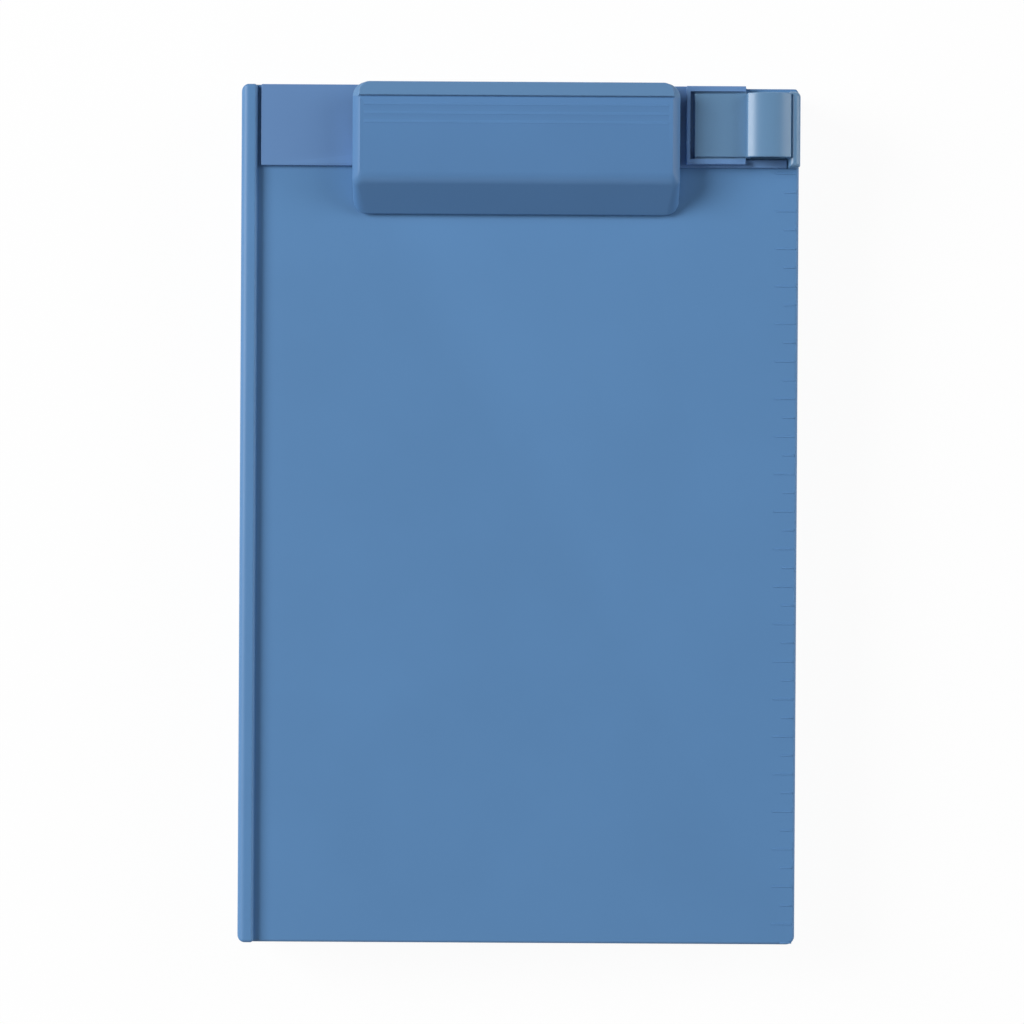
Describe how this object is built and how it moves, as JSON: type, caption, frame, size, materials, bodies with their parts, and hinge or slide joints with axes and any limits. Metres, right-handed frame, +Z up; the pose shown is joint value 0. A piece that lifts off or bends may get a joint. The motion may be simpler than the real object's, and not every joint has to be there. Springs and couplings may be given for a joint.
{
  "type": "storage clipboard box",
  "caption": "Clipboard whose board is the hinged lid of a shallow storage tray, with a wide spring clip, a sliding pen loop and ruler marks.",
  "frame": {"origin": "middle of the underside", "axes": "+X to the right of the paper, +Y towards the clip, +Z up from the tray's floor to the board's face"},
  "size_m": [0.1484, 0.2284, 0.0324],
  "materials": {
    "blue_plastic": "satin",
    "light_blue_plastic": "satin",
    "steel": "satin",
    "rubber": "matte"
  },
  "bodies": {
    "tray": {"base_tray": "blue_plastic", "hinge_pin": "steel"},
    "lid": {"lid_board": "blue_plastic", "header_plate": "light_blue_plastic", "header_screws": "steel", "clip_rod": "steel", "clip_spring_left": "steel", "clip_spring_right": "steel"},
    "clip": {"clip_lever": "blue_plastic", "jaw_grip": "rubber"},
    "pen": {"pen_holder": "light_blue_plastic"}
  },
  "joints": [
    {"name": "lid_hinge", "type": "hinge", "parent": "tray", "child": "lid", "pos_m": [-0.07105, 0, 0.017], "axis": [0, -1, 0], "range_deg": [0, 100]},
    {"name": "clip_hinge", "type": "hinge", "parent": "lid", "child": "clip", "pos_m": [-0.0011, 0.09925, 0.0266], "axis": [-1, 0, 0], "range_deg": [0, 18], "stiffness_Nm_per_rad": 0.25, "springref_deg": -34.38, "deforming": ["clip_spring_left", "clip_spring_right"]},
    {"name": "pen_slide", "type": "slide", "parent": "lid", "child": "pen", "axis": [1, 0, 0], "range_m": [0, 0.01]}
  ]
}
